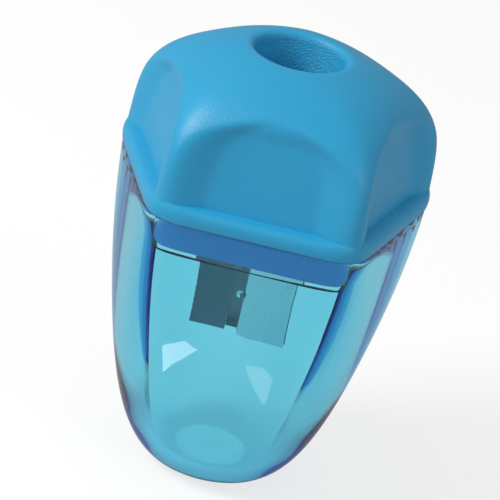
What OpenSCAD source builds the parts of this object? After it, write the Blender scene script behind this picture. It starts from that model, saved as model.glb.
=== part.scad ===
// Canister pencil sharpener: a five-lobed head that plugs into a clear shavings
// receptacle and carries a wedge sharpener insert under its funnel.
// Frame: +Z along the pencil, origin at the centre of the base, front face toward -Y.

/* [Plan outline] */
// Distance from the pencil axis to each face of the head's flange
flange_apothem = 19; // [17:0.5:21]
// Sharpness of the outline's five corners at the flange: higher is sharper
corner_sharpness = 13; // [8:0.5:18]

/* [Receptacle] */
// Height of the rim above the base
rim_height = 42.5; // [41:0.5:46]
// Wall below the ledge
receptacle_wall = 1.5; // [1.2:0.1:2]
// Wall beside the head's skirt
rim_wall = 1; // [0.8:0.1:1.1]
// Thickness of the floor
floor_thickness = 1.8; // [1.4:0.1:2.4]
// Distance from the axis to the edge of the flat foot
foot_apothem = 5.4; // [5:0.2:7]
// Depth of the ledge below the rim, in the bays that take the head's tabs
ledge_depth = 4.7; // [4.4:0.1:6]
// Depth of the ledge below the rim, on the faces without a tab
side_ledge_depth = 1.6; // [1.4:0.1:2]
// Width of the bays that take the head's tabs
bay_width = 25.6; // [24:0.2:26]
// Radius of the bays' and the tabs' lower corners
bay_corner = 1; // [0.6:0.1:1.4]
// Sharpness of the corners at the foot: about 3 is nearly round
foot_sharpness = 3.1; // [3:0.1:4]
// How much further the cavity's corners reach than the outer ones, as a share of the apothem
corner_ridge = 0.018; // [0:0.002:0.02]
// Radius of the moulding mark on the front wall
gate_radius = 0.5; // [0.4:0.05:0.8]
// Height of the moulding mark above the base
gate_height = 34.9; // [30:0.1:36]
// How far the moulding mark stands out
gate_rise = 0.15; // [0.1:0.05:0.3]

/* [Head] */
// Height of the head above the receptacle's rim
head_height = 20; // [19:0.5:22]
// Height of the flange's rounded band
flange_height = 2.4; // [2:0.1:3]
// How far the rounded band stands out
flange_bulge = 0.1; // [0.05:0.05:0.3]
// Step from the flange in to the pillars
groove_step = 0.1; // [0.05:0.05:0.5]
// How far the band rolls in toward the panels
band_roll = 0.45; // [0.2:0.05:0.6]
// Height of the groove above the band
groove_height = 0.2; // [0.15:0.05:0.4]
// Depth of the scooped panels at their foot
scoop_depth = 1.65; // [1:0.05:1.8]
// Lean of the scooped panels, in sideways mm per mm of height
scoop_lean = 0.13; // [0.1:0.01:0.18]
// Draft of the pillars, in sideways mm per mm of height
pillar_draft = 0.04; // [0.02:0.01:0.08]
// Radius of the flat crest round the mouth
crest_radius = 7.2; // [7.2:0.1:8.5]
// Wall of the domed shell
head_wall = 1.6; // [1.3:0.1:1.8]
// Length of the skirt's tabs that plug into the receptacle's bays
skirt_length = 4; // [3.5:0.1:4.2]
// Length of the skirt between its tabs
side_skirt_length = 1.2; // [0.8:0.1:1.3]
// Wall of the skirt
skirt_wall = 1.1; // [0.9:0.1:1.4]
// Step of the receptacle's rim in from the flange
rim_step = 0.1; // [0.05:0.05:0.3]
// Gap between the skirt and the receptacle
skirt_clearance = 0.12; // [0.1:0.01:0.2]
// Gap between each end of a tab and its bay
tab_end_gap = 0.15; // [0.1:0.05:0.3]

/* [Funnel] */
// Radius of the funnel at its mouth
mouth_radius = 6.1; // [5.8:0.1:6.2]
// Radius of the rounded lip of the mouth
lip_radius = 1; // [0.7:0.1:1]
// Radius of the throat above the insert
throat_radius = 4.35; // [4.25:0.05:4.6]
// Length of the straight throat
throat_length = 2; // [1.5:0.1:3]
// Wall of the tube round the funnel
funnel_wall = 1.6; // [1.2:0.1:2]

/* [Insert pocket] */
// Wall of the pocket round the insert
pocket_wall = 1.3; // [1:0.1:1.5]
// Depth of the pocket that holds the insert
pocket_depth = 6.5; // [6:0.1:7]
// Gap between the insert and its pocket
pocket_clearance = 0.05; // [0.02:0.01:0.1]
// Free space in front of the screw's head
screw_headroom = 0.4; // [0.3:0.05:0.6]
// Width of the pocket's rib that bears on the insert
bearing_rib_width = 3; // [2.5:0.1:3.2]

/* [Insert] */
// Depth of the insert's top below the crest
insert_recess = 17.5; // [17:0.5:18]
// Width of the insert
insert_width = 15; // [14.6:0.1:15.4]
// Length of the insert along the pencil
insert_length = 25; // [24.6:0.1:25.8]
// Distance from the axis to the insert's flat back
insert_back = 5.5; // [5.1:0.1:5.8]
// Radius of the bore that guides the pencil
pencil_radius = 4.1; // [3.9:0.05:4.2]
// Length of the sharpening cone, to its point
cone_length = 19; // [18.6:0.1:19.4]
// Height of the cone's point above the insert's lower end
point_height = 1; // [0.8:0.1:1.4]
// Radius of the dust hole at the tip
dust_hole_radius = 0.7; // [0.5:0.05:0.9]
// Width of the shaving slot
slot_width = 2; // [1.6:0.1:3]
// Depth of the shaving slot under the blade's seat
slot_depth = 3; // [2.4:0.1:3.4]
// Distance of the shaving slot's upper end from the guide bore
slot_end_gap = 0.5; // [0.3:0.1:1]
// Radius of the grip grooves
groove_radius = 0.15; // [0.1:0.05:0.3]
// Distance between grip grooves
groove_pitch = 1; // [0.8:0.1:1.2]
// Height of the lowest grip groove above the insert's lower end
groove_start = 2.25; // [1.5:0.25:3]
// Number of grip grooves on each side
groove_count = 10; // [6:1:12]

/* [Blade and screw] */
// Length of the blade
blade_length = 24; // [22:0.5:24.5]
// Width of the blade
blade_width = 7.2; // [6.4:0.1:7.3]
// Thickness of the blade
blade_thickness = 0.5; // [0.4:0.05:0.6]
// Distance of the blade's upper end below the seat's upper end
blade_top_gap = 1.85; // [1.5:0.05:2.5]
// Distance of the cutting edge from the axis
blade_edge_x = 0.15; // [0.1:0.05:0.3]
// Width of the ground bevel at the cutting edge
bevel_width = 1.4; // [1:0.1:1.8]
// Thickness left at the cutting edge
edge_thickness = 0.06; // [0.04:0.01:0.1]
// Distance of the screw below the blade's upper end
screw_position = 7.8; // [7.5:0.1:9.5]
// Distance of the screw from the blade's middle
screw_offset = 0.4; // [0.2:0.1:0.6]
// Radius of the screw's head
screw_head_radius = 2.4; // [2.1:0.1:2.6]
// Height of the screw's head
screw_head_height = 1.1; // [0.9:0.1:1.2]
// Radius of the screw's shank
screw_radius = 1; // [0.8:0.05:1.1]
// Length of the screw's shank below the blade
screw_reach = 3; // [2.4:0.1:3.2]
// Free length of the hole past the screw's tip
screw_tip_gap = 0.4; // [0.3:0.05:0.6]
// Width of the screwdriver slot
driver_slot_width = 0.6; // [0.5:0.05:0.8]
// Depth of the screwdriver slot
driver_slot_depth = 0.6; // [0.4:0.05:0.7]
// Gap between the screw and its holes
screw_clearance = 0.05; // [0.03:0.01:0.08]

/* [Hidden] */

// Resolution of the lofted shells
ring_points = 100;
shell_rings = 22;
band_rings = 6;
round_fn = 96;
small_fn = 48;
overcut = 1;
hollow_rings = 10;

// Outline of all five-sided rings
faces = 5;
face_angle = 360 / faces;
front_direction = -90;
// Faces that carry a tab, counted round from the front one
tab_faces = [0, 2, 3];

// Curves of the receptacle's wall and of the head's dome
belly_power = 2.13;
belly_root = 0.408;
corner_fade = 3.1;
// Drops between which the cavity's crisp corners turn soft
ridge_start = 0.66;
ridge_end = 0.92;
// Sharpness of the cavity's soft corners, carried up to the rim
soft_sharpness = 10;
dome_power = 4;
dome_root = 0.8;
dome_fade = 3;

// Angles from a face's middle at which its scooped panel starts to fade and ends
fade_start = 22;
fade_end = 36;
// Rise at which the panels' arched tops close, and the curve of the arch
arch_rise = 0.75;
arch_power = 6;
// Rises between which the panels fade into the crest
crest_fade_start = 0.58;
crest_fade_end = 0.86;
// Roundness of the edge between panel and dome
scoop_softness = 1;
// Power that crowds the dome's rings together toward the crest
crest_crowding = 1.8;
// Power that rolls the band in near the groove
roll_power = 5;
// Rise at which the hollow under the dome ends
hollow_rise = 0.8;
// Growth of the dome's wall toward the crest
wall_slant = 1.5;
// Share of the screw's head that is straight, and its top's share of the radius
head_straight_share = 0.6;
head_top_share = 0.72;

receptacle_apothem = flange_apothem - rim_step;
ledge_height = rim_height - ledge_depth;
rim_inner_apothem = receptacle_apothem - rim_wall;
inner_apothem = receptacle_apothem - receptacle_wall;
skirt_apothem = rim_inner_apothem - skirt_clearance;
rim_sharpness = corner_sharpness - 1;

top_height = rim_height + head_height;
band_top = rim_height + flange_height;
pillar_apothem = flange_apothem - groove_step;
lip_center = mouth_radius + lip_radius;

insert_top = top_height - insert_recess;
insert_bottom = insert_top - insert_length;
cone_point = insert_bottom + point_height;
cone_top = cone_point + cone_length;
seat_angle = atan(pencil_radius / cone_length);
seat_length = (insert_top - cone_point) / cos(seat_angle);

blade_end = seat_length - blade_top_gap;
blade_start = blade_end - blade_length;
screw_x = blade_edge_x + blade_width / 2 + screw_offset;
screw_z = blade_end - screw_position;
screw_stack = blade_thickness + screw_head_height + screw_headroom;

pocket_half_width = insert_width / 2 + pocket_clearance;
pocket_back = insert_back + pocket_clearance;
pocket_front = (insert_top - cone_point) * tan(seat_angle) + screw_stack / cos(seat_angle);
pocket_bottom = insert_top - pocket_depth;

head_color = [0.20, 0.62, 0.82];
clear_color = [0.45, 0.80, 0.88, 0.45];
cast_color = [0.42, 0.46, 0.50];
steel_color = [0.80, 0.82, 0.84];

// Sum of a list's numbers
function total(list) = list * [for (i = list) 1];

// Radius of a unit five-sided outline with rounded corners, in direction t
function outline(t, sharpness) =
    pow(total([for (k = [0 : faces - 1])
        pow(max(0, cos(t - front_direction - k * face_angle)), sharpness)]), -1 / sharpness);

// Distance of the outline's corners, as a share of the distance of its faces
function corner_ratio(sharpness) =
    outline(front_direction + face_angle / 2, sharpness) / outline(front_direction, sharpness);

// Radius of a unit outline of five arcs whose ridges lie at the given ratio, in direction t
function arcs(t, ratio) =
    let (centre = (ratio * ratio - 1) / (2 - 2 * ratio * cos(face_angle / 2)))
    min([for (k = [0 : faces - 1])
        let (facing = centre * cos(t - front_direction - k * face_angle))
        sqrt(facing * facing + 1 + 2 * centre) - facing]);

// Angle between direction t and the nearest face's middle
function from_face(t) =
    abs(((t - front_direction + face_angle / 2) % face_angle) - face_angle / 2);

function clamp01(x) = max(0, min(1, x));
function smooth(x) = let (c = clamp01(x)) c * c * (3 - 2 * c);
function ramp(i, n) = i / n;

// One ring of points from radii r(t) at height z
function ring(radii, z) =
    [for (i = [0 : ring_points - 1])
        let (t = i * 360 / ring_points) [radii[i] * cos(t), radii[i] * sin(t), z]];

// Solid between stacked rings, the lowest first
module loft(rings) {
    last = len(rings) - 1;
    n = ring_points;
    points = [for (one = rings) each one];
    sides = [for (j = [0 : last - 1], i = [0 : n - 1])
        let (k = (i + 1) % n) each [
            [j * n + i, (j + 1) * n + i, j * n + k],
            [j * n + k, (j + 1) * n + i, (j + 1) * n + k]]];
    low = [[for (i = [0 : n - 1]) i]];
    high = [[for (i = [n - 1 : -1 : 0]) last * n + i]];
    polyhedron(points, concat(low, sides, high), convexity = 6);
}

function outline_ring(apothem, sharpness, z) =
    ring([for (i = [0 : ring_points - 1]) apothem * outline(i * 360 / ring_points, sharpness)], z);

// Prism with the rounded five-sided outline
module outline_prism(apothem, sharpness, z0, z1) {
    loft([outline_ring(apothem, sharpness, z0), outline_ring(apothem, sharpness, z1)]);
}

// Upright plate across the face of each tab, with rounded lower corners
module tab_plates(width, low, high) {
    for (k = tab_faces)
        rotate([90, 0, k * face_angle]) linear_extrude(flange_apothem + overcut) {
            translate([-width / 2, low + bay_corner]) square([width, high - low - bay_corner]);
            translate([bay_corner - width / 2, low]) square([width - 2 * bay_corner, 2 * bay_corner]);
            for (side = [-1, 1])
                translate([side * (width / 2 - bay_corner), low + bay_corner])
                    circle(r = bay_corner, $fn = small_fn);
        }
}

// Belly curve: 1 at the rim, small at the foot; drop runs from 0 at the rim to 1 at the foot
function belly(drop, foot_share) =
    foot_share + (1 - foot_share) * pow(max(0, 1 - pow(drop, belly_power)), belly_root);

// Heights crowd together toward the foot, where the wall turns in
function belly_drop(i, n) = sin(90 * ramp(i, n));

// Sharpness at a drop, from the given one at the rim to the foot's
function faded(sharpness, drop) =
    foot_sharpness + (sharpness - foot_sharpness) * pow(1 - drop, corner_fade);

module receptacle_outer() {
    foot_share = foot_apothem / receptacle_apothem;
    loft([for (i = [0 : shell_rings])
        let (drop = belly_drop(shell_rings - i, shell_rings))
        outline_ring(receptacle_apothem * belly(drop, foot_share),
            faded(corner_sharpness, drop), rim_height * (1 - drop))]);
}

// Radius of the cavity's unit outline: crisp ridges below the ledge, soft corners at the floor
function cavity(t, drop, crisp) =
    crisp * arcs(t, corner_ratio(faded(corner_sharpness, drop)) + corner_ridge)
    + (1 - crisp) * outline(t, faded(soft_sharpness, drop));

module receptacle_hollow() {
    foot_share = (foot_apothem - receptacle_wall / 2) / inner_apothem;
    depth = rim_height - floor_thickness;
    ledge_drop = ledge_depth / depth;
    loft([for (i = [0 : shell_rings])
        let (share = belly_drop(shell_rings - i, shell_rings),
            drop = max(share, ledge_drop * (1 - i / shell_rings)),
            crisp = 1 - smooth((drop - ridge_start) / (ridge_end - ridge_start)),
            apothem = inner_apothem * belly(drop, foot_share))
        ring([for (k = [0 : ring_points - 1]) apothem * cavity(k * 360 / ring_points, drop, crisp)],
            rim_height - depth * drop)]);
}

module receptacle() color(clear_color) {
    difference() {
        union() {
            receptacle_outer();
            foot_share = foot_apothem / receptacle_apothem;
            front = receptacle_apothem * belly(1 - gate_height / rim_height, foot_share);
            root = receptacle_wall / 2;
            translate([0, root - front, gate_height]) rotate([90, 0, 0])
                cylinder(r = gate_radius, h = root + gate_rise, $fn = small_fn);
        }
        receptacle_hollow();
        outline_prism(rim_inner_apothem, rim_sharpness, rim_height - side_ledge_depth, rim_height + overcut);
        intersection() {
            outline_prism(rim_inner_apothem, rim_sharpness, ledge_height, rim_height + overcut);
            tab_plates(bay_width, ledge_height, rim_height + overcut);
        }
    }
}

// Dome curve of the head's pillars; rise runs from 0 at the band to 1 at the crest
function dome(rise, z) =
    crest_radius + (pillar_apothem - crest_radius) * pow(max(0, 1 - pow(rise, dome_power)), dome_root)
    - pillar_draft * (z - band_top) * (1 - rise);

// Distance from the axis to the leaning panels at height z
function panel_apothem(z) = pillar_apothem - scoop_depth - scoop_lean * (z - band_top);

// Width of the panels at a rise, as a share of their width at the foot
function arch(rise) = max(0, 1 - pow(rise / arch_rise, arch_power));

// Share of the panel in direction t: 1 across the panel, 0 at the pillars
function panel_share(t, width) =
    1 - smooth((from_face(t) - fade_start * width) / (fade_end - fade_start));

// Radius cut back to the panel of the nearest face, fading out toward the pillars and the arch
function scooped(radius, t, rise, z) =
    let (proud = radius - panel_apothem(z) / cos(from_face(t)),
        cut = (proud + sqrt(proud * proud + scoop_softness * scoop_softness)) / 2)
    radius - cut * panel_share(t, arch(rise));

function dome_ring(rise) =
    let (z = band_top + (top_height - band_top) * rise,
        apothem = dome(rise, z), corner = 1 - pow(rise, dome_fade),
        fade = 1 - smooth((rise - crest_fade_start) / (crest_fade_end - crest_fade_start)))
    ring([for (i = [0 : ring_points - 1])
        let (t = i * 360 / ring_points,
            radius = apothem * (1 + corner * (outline(t, corner_sharpness) - 1)))
        radius + fade * (scooped(radius, t, rise, z) - radius)], z);

// Heights crowd together toward the crest, where the dome turns flat
function dome_rise(i, n) = 1 - pow(1 - ramp(i, n), crest_crowding);

// Ring of the rounded band at the foot of the head; share runs from 0 at the rim to 1 at the groove
function band_ring(share) =
    ring([for (i = [0 : ring_points - 1])
        let (t = i * 360 / ring_points,
            roll = (groove_step + band_roll * panel_share(t, 1)) * pow(share, roll_power))
        (flange_apothem + flange_bulge * sin(180 * share)) * outline(t, corner_sharpness) - roll],
        rim_height + (flange_height - groove_height) * share);

module head_outer() {
    loft(concat(
        [for (i = [0 : band_rings]) band_ring(sin(90 * ramp(i, band_rings)))],
        [for (i = [0 : shell_rings]) dome_ring(dome_rise(i, shell_rings))]));
}

// Space under the dome, open downward
module head_hollow() {
    loft(concat(
        [outline_ring(skirt_apothem - skirt_wall, rim_sharpness, rim_height - skirt_length - overcut),
         outline_ring(skirt_apothem - skirt_wall, rim_sharpness, band_top - groove_height)],
        [for (i = [0 : hollow_rings])
            let (rise = hollow_rise * ramp(i, hollow_rings), z = band_top + (top_height - band_top) * rise,
                corner = 1 - pow(rise, dome_fade), slant = 1 + wall_slant * rise * rise,
                apothem = min(skirt_apothem - skirt_wall, panel_apothem(z) - head_wall,
                    dome(rise, z) - head_wall * slant))
            ring([for (k = [0 : ring_points - 1])
                apothem * (1 + corner * (outline(k * 360 / ring_points, rim_sharpness) - 1))], z)]));
}

// Block that holds the insert's pocket, and the tube of the funnel above it
module pocket_block() {
    half = pocket_half_width + pocket_wall;
    translate([-half, -pocket_front - pocket_wall, pocket_bottom])
        cube([2 * half, pocket_front + pocket_back + 2 * pocket_wall, pocket_depth + throat_length]);
    translate([0, 0, insert_top])
        cylinder(r = mouth_radius + funnel_wall, h = top_height - insert_top, $fn = round_fn);
}

// Frame of the blade's seat: the seat is the local plane y = 0 and its outside is -y
module on_seat() {
    translate([0, 0, cone_point]) rotate([seat_angle, 0, 0]) children();
}

module in_front_of_seat(x0, x1, gap) {
    reach = insert_length;
    on_seat() translate([x0, -reach - gap, -reach]) cube([x1 - x0, reach, 3 * reach]);
}

module pocket() {
    difference() {
        translate([-pocket_half_width, -pocket_front, pocket_bottom - overcut])
            cube([2 * pocket_half_width, pocket_front + pocket_back, pocket_depth + overcut]);
        in_front_of_seat(-pocket_half_width - overcut, bearing_rib_width - pocket_half_width,
            pocket_clearance);
    }
}

// Rounded mouth, funnel and throat
module funnel() {
    lip_low = top_height - lip_radius;
    throat_top = insert_top + throat_length;
    rotate_extrude($fn = round_fn)
        difference() {
            polygon([[0, insert_top - overcut], [throat_radius, insert_top - overcut],
                [throat_radius, throat_top], [mouth_radius, lip_low],
                [lip_center, lip_low], [lip_center, top_height + overcut], [0, top_height + overcut]]);
            translate([lip_center, lip_low]) circle(r = lip_radius, $fn = small_fn);
        }
}

// Short skirt with a longer tab on each of the tab faces, before it is hollowed
module skirt() {
    low = rim_height - skirt_length;
    high = rim_height + flange_height / 2;
    outline_prism(skirt_apothem, rim_sharpness, rim_height - side_skirt_length, high);
    intersection() {
        outline_prism(skirt_apothem, rim_sharpness, low, high);
        tab_plates(bay_width - 2 * tab_end_gap, low, high);
    }
}

module head() color(head_color) {
    difference() {
        union() {
            head_outer();
            skirt();
        }
        difference() {
            head_hollow();
            pocket_block();
        }
        pocket();
        funnel();
    }
}

module grip_grooves() {
    for (side = [-1, 1], i = [0 : groove_count - 1])
        translate([side * insert_width / 2, -insert_back - overcut,
                insert_bottom + groove_start + i * groove_pitch])
            rotate([-90, 0, 0])
                cylinder(r = groove_radius, h = 2 * (insert_back + overcut), $fn = small_fn);
}

module sharpener_body() color(cast_color) {
    difference() {
        translate([-insert_width / 2, -pocket_front, insert_bottom])
            cube([insert_width, pocket_front + insert_back, insert_length]);
        in_front_of_seat(-insert_width, insert_width, 0);
        translate([0, 0, cone_top])
            cylinder(r = pencil_radius, h = insert_top - cone_top + overcut, $fn = round_fn);
        tip_height = cone_point + dust_hole_radius / tan(seat_angle);
        translate([0, 0, tip_height])
            cylinder(r1 = dust_hole_radius, r2 = pencil_radius, h = cone_top - tip_height, $fn = round_fn);
        translate([0, 0, insert_bottom - overcut])
            cylinder(r = dust_hole_radius, h = tip_height - insert_bottom + 2 * overcut, $fn = small_fn);
        on_seat() translate([-slot_width, -overcut, blade_start])
            cube([slot_width, slot_depth + overcut, cone_length - blade_start - slot_end_gap]);
        on_seat() translate([screw_x, 0, screw_z]) rotate([-90, 0, 0]) translate([0, 0, -overcut])
            cylinder(r = screw_radius + screw_clearance, h = screw_reach + screw_tip_gap + overcut,
                $fn = small_fn);
        grip_grooves();
    }
}

module blade() color(steel_color) {
    on_seat() difference() {
        translate([blade_edge_x, -blade_thickness, blade_start])
            cube([blade_width, blade_thickness, blade_length]);
        translate([blade_edge_x, 0, blade_start - overcut])
            linear_extrude(blade_length + 2 * overcut)
                polygon([[-overcut, -edge_thickness], [0, -edge_thickness], [bevel_width, -blade_thickness],
                    [bevel_width, -overcut], [-overcut, -overcut]]);
        translate([screw_x, overcut, screw_z]) rotate([90, 0, 0])
            cylinder(r = screw_radius + screw_clearance, h = blade_thickness + 2 * overcut, $fn = small_fn);
    }
}

module blade_screw() color(steel_color) {
    straight = screw_head_height * head_straight_share;
    on_seat() translate([screw_x, -blade_thickness, screw_z]) rotate([90, 0, 0]) difference() {
        union() {
            cylinder(r = screw_head_radius, h = straight, $fn = small_fn);
            translate([0, 0, straight])
                cylinder(r1 = screw_head_radius, r2 = screw_head_radius * head_top_share,
                    h = screw_head_height - straight, $fn = small_fn);
            translate([0, 0, -screw_reach - blade_thickness])
                cylinder(r = screw_radius, h = screw_reach + blade_thickness + straight, $fn = small_fn);
        }
        translate([-screw_head_radius - overcut, -driver_slot_width / 2,
                screw_head_height - driver_slot_depth])
            cube([2 * (screw_head_radius + overcut), driver_slot_width, screw_head_height]);
    }
}

receptacle();
head();
sharpener_body();
blade();
blade_screw();
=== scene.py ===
"""Looks of a canister pencil sharpener: head, clear receptacle, wedge insert, blade and screw.

Every size is in metres and repeats the part's driving dimensions. The one exception is the height
at which the receptacle's inner corners grow round, which starts and ends a little earlier here, for
a clean lower outline. The frame is the part's own: +Z along the pencil, origin at the centre of the
foot, front face toward -Y.
"""

import logging
import math
from dataclasses import dataclass, field
from enum import Enum
from functools import cached_property, reduce

import bmesh
import bpy
import numpy as np
from bpy.types import Material, Mesh, Node, NodeSocket, NodeTree, Object
from mathutils import Matrix, Vector

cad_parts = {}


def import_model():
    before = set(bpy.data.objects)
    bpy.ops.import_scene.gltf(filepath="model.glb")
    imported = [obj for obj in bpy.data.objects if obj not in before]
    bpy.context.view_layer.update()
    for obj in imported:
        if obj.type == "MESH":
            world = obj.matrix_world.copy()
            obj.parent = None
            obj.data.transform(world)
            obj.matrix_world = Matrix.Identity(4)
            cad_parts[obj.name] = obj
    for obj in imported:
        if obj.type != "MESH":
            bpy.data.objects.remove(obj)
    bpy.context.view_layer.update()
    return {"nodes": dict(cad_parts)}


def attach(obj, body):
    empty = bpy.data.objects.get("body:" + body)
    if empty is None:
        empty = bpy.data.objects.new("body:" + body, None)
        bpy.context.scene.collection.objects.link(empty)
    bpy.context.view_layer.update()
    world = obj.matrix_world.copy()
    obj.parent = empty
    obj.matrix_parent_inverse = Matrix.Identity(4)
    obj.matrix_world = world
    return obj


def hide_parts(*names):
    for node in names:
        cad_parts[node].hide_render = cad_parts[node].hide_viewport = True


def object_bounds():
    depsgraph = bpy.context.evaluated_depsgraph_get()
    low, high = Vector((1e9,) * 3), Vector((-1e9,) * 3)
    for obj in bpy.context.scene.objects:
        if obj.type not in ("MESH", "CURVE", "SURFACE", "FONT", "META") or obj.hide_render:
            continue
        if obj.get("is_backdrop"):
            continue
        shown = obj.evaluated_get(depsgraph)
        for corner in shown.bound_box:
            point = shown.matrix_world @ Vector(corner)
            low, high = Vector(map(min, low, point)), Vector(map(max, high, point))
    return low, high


LOG = logging.getLogger("sharpener")
MM = 0.001
MERGE_DISTANCE = 1e-7
TINY = 1e-9

Colour = tuple[float, float, float]


class Body(Enum):
    """Rigid bodies of the part that pieces ride on."""

    RECEPTACLE = "receptacle_body"
    HEAD = "head_body"


class Slot(Enum):
    """Material slots of the part's record, by name; no piece here is given one."""

    CLEAR = "clear_shell"
    HEAD = "head_plastic"


# ---------------------------------------------------------------- shape rules


@dataclass(frozen=True)
class Outline:
    """Five-sided plan outline with rounded corners, the same at every height."""

    faces: int = 5
    front: float = -math.pi / 2

    @property
    def face_angle(self) -> float:
        """Angle between neighbouring faces."""
        return 2 * math.pi / self.faces

    @property
    def normals(self) -> np.ndarray:
        """Directions of the middles of the faces."""
        return self.front + self.face_angle * np.arange(self.faces)

    def radius(self, angles: np.ndarray, sharpness: float) -> np.ndarray:
        """Radii of the outline whose faces lie at distance 1, in each direction."""
        facing = np.maximum(np.cos(angles[:, None] - self.normals), 0)
        return (facing**sharpness).sum(axis=1) ** (-1 / sharpness)

    def from_face(self, angles: np.ndarray) -> np.ndarray:
        """Angle between each direction and the middle of the nearest face."""
        half = self.face_angle / 2
        return np.abs(np.mod(angles - self.front + half, self.face_angle) - half)


@dataclass(frozen=True)
class Tabs:
    """Tabs of the head's skirt on three faces, and the receptacle's bays that take them."""

    outline: Outline = field(default_factory=Outline)
    faces: tuple[int, ...] = (0, 2, 3)
    bay_width: float = 25.6 * MM
    end_gap: float = 0.15 * MM
    corner: float = 1 * MM
    fine_steps: int = 36001
    corner_stride: int = 30

    @property
    def tab_width(self) -> float:
        """Width of a tab."""
        return self.bay_width - 2 * self.end_gap

    def inside(self, angles: np.ndarray, radii: np.ndarray, width: float) -> np.ndarray:
        """Distance in from the ends of the nearest tab or bay.

        Args:
            angles: Directions in radians.
            radii: Radius of the wall in each direction.
            width: Width of the tabs or the bays.

        Returns:
            The distances, below zero on the faces without a tab.
        """
        turn = angles[:, None] - self.outline.normals[list(self.faces)]
        across = np.abs(radii[:, None] * np.sin(turn))
        return np.where(np.cos(turn) > 0, width / 2 - across, -width).max(axis=1)

    def depths(self, inside: np.ndarray, short: float, full: float) -> np.ndarray:
        """Depth of a skirt or a ledge below the rim.

        Args:
            inside: Distances in from the ends of the tabs or bays.
            short: Depth between the tabs.
            full: Depth on the tabs, whose lower corners are rounded.

        Returns:
            One depth for each distance.
        """
        sunk = np.clip(self.corner - inside, 0, self.corner)
        lift = self.corner - np.sqrt(self.corner**2 - sunk**2)
        return np.where(inside > 0, full - lift, short)

    def directions(self, apothem: float, sharpness: float, width: float) -> np.ndarray:
        """Directions that draw the ends of the tabs or bays and their corners.

        Args:
            apothem: Distance from the axis to the wall's faces.
            sharpness: Sharpness of the wall's corners.
            width: Width of the tabs or the bays.

        Returns:
            The directions in radians, in no order.
        """
        fine = np.linspace(-math.pi, math.pi, self.fine_steps)
        inside = self.inside(fine, apothem * self.outline.radius(fine, sharpness), width)
        change = np.flatnonzero((inside[1:] > 0) != (inside[:-1] > 0))
        corner = fine[(inside > 0) & (inside < self.corner)][:: self.corner_stride]
        return np.concatenate([fine[change], fine[change + 1], corner])


def smooth(x: np.ndarray) -> np.ndarray:
    """Smooth step from 0 at x = 0 to 1 at x = 1."""
    c = np.clip(x, 0, 1)
    return c * c * (3 - 2 * c)


def ring(radii: np.ndarray | float, angles: np.ndarray, heights: np.ndarray | float) -> np.ndarray:
    """Points of one ring, from one radius and height or from one for each direction."""
    across, along = radii * np.cos(angles), radii * np.sin(angles)
    return np.column_stack([across, along, heights * np.ones_like(angles)])


def even_directions(around: int) -> np.ndarray:
    """Evenly spread directions in radians."""
    return np.linspace(-math.pi, math.pi, around, endpoint=False)


def loft(name: str, rings: list[np.ndarray], closed: bool, extras: tuple[str, ...] = ()) -> Mesh:
    """Skins a stack of rings.

    Args:
        name: Name of the new mesh.
        rings: Rings with the same number of points, in order; extra columns become attributes.
        closed: Joins the last ring to the first. Otherwise both ends get a pole.
        extras: Names of the extra columns.

    Returns:
        The new mesh.
    """
    count = len(rings[0])
    rows = len(rings)
    points = np.concatenate(rings)
    faces = []
    for j in range(rows if closed else rows - 1):
        low, high = j * count, ((j + 1) % rows) * count
        turns = [(i, (i + 1) % count) for i in range(count)]
        faces += [(low + i, low + after, high + after, high + i) for i, after in turns]
    if not closed:
        poles = [rings[0].mean(axis=0), rings[-1].mean(axis=0)]
        first, last = len(points), len(points) + 1
        points = np.concatenate([points, poles])
        top = (rows - 1) * count
        faces += [(first, (i + 1) % count, i) for i in range(count)]
        faces += [(last, top + i, top + (i + 1) % count) for i in range(count)]
    mesh = bpy.data.meshes.new(name)
    mesh.from_pydata(points[:, :3].tolist(), [], faces)
    for column, extra in enumerate(extras, start=3):
        mesh.attributes.new(extra, "FLOAT", "POINT").data.foreach_set("value", points[:, column])
    return mesh


def finish_mesh(name: str, mesh: Mesh, crease: float = math.radians(38)) -> Object:
    """Turns a mesh into a smooth-shaded object with sharp creases.

    Args:
        name: Name of the new object.
        mesh: The mesh that it takes.
        crease: Edges that turn by more than this stay sharp.

    Returns:
        The new object, linked to the scene.
    """
    work = bmesh.new()
    work.from_mesh(mesh)
    bmesh.ops.remove_doubles(work, verts=work.verts, dist=MERGE_DISTANCE)
    bmesh.ops.recalc_face_normals(work, faces=work.faces)
    for face in work.faces:
        face.smooth = True
    for edge in work.edges:
        edge.smooth = edge.is_manifold and edge.calc_face_angle(0) < crease
    work.to_mesh(mesh)
    work.free()
    return placed(name, mesh)


def placed(name: str, data: bpy.types.ID) -> Object:
    """Makes an object and links it to the scene.

    Args:
        name: Its name.
        data: Its mesh, light or camera.

    Returns:
        The new object.
    """
    made = bpy.data.objects.new(name, data)
    bpy.context.scene.collection.objects.link(made)
    return made


# ---------------------------------------------------------------- node helpers


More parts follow.
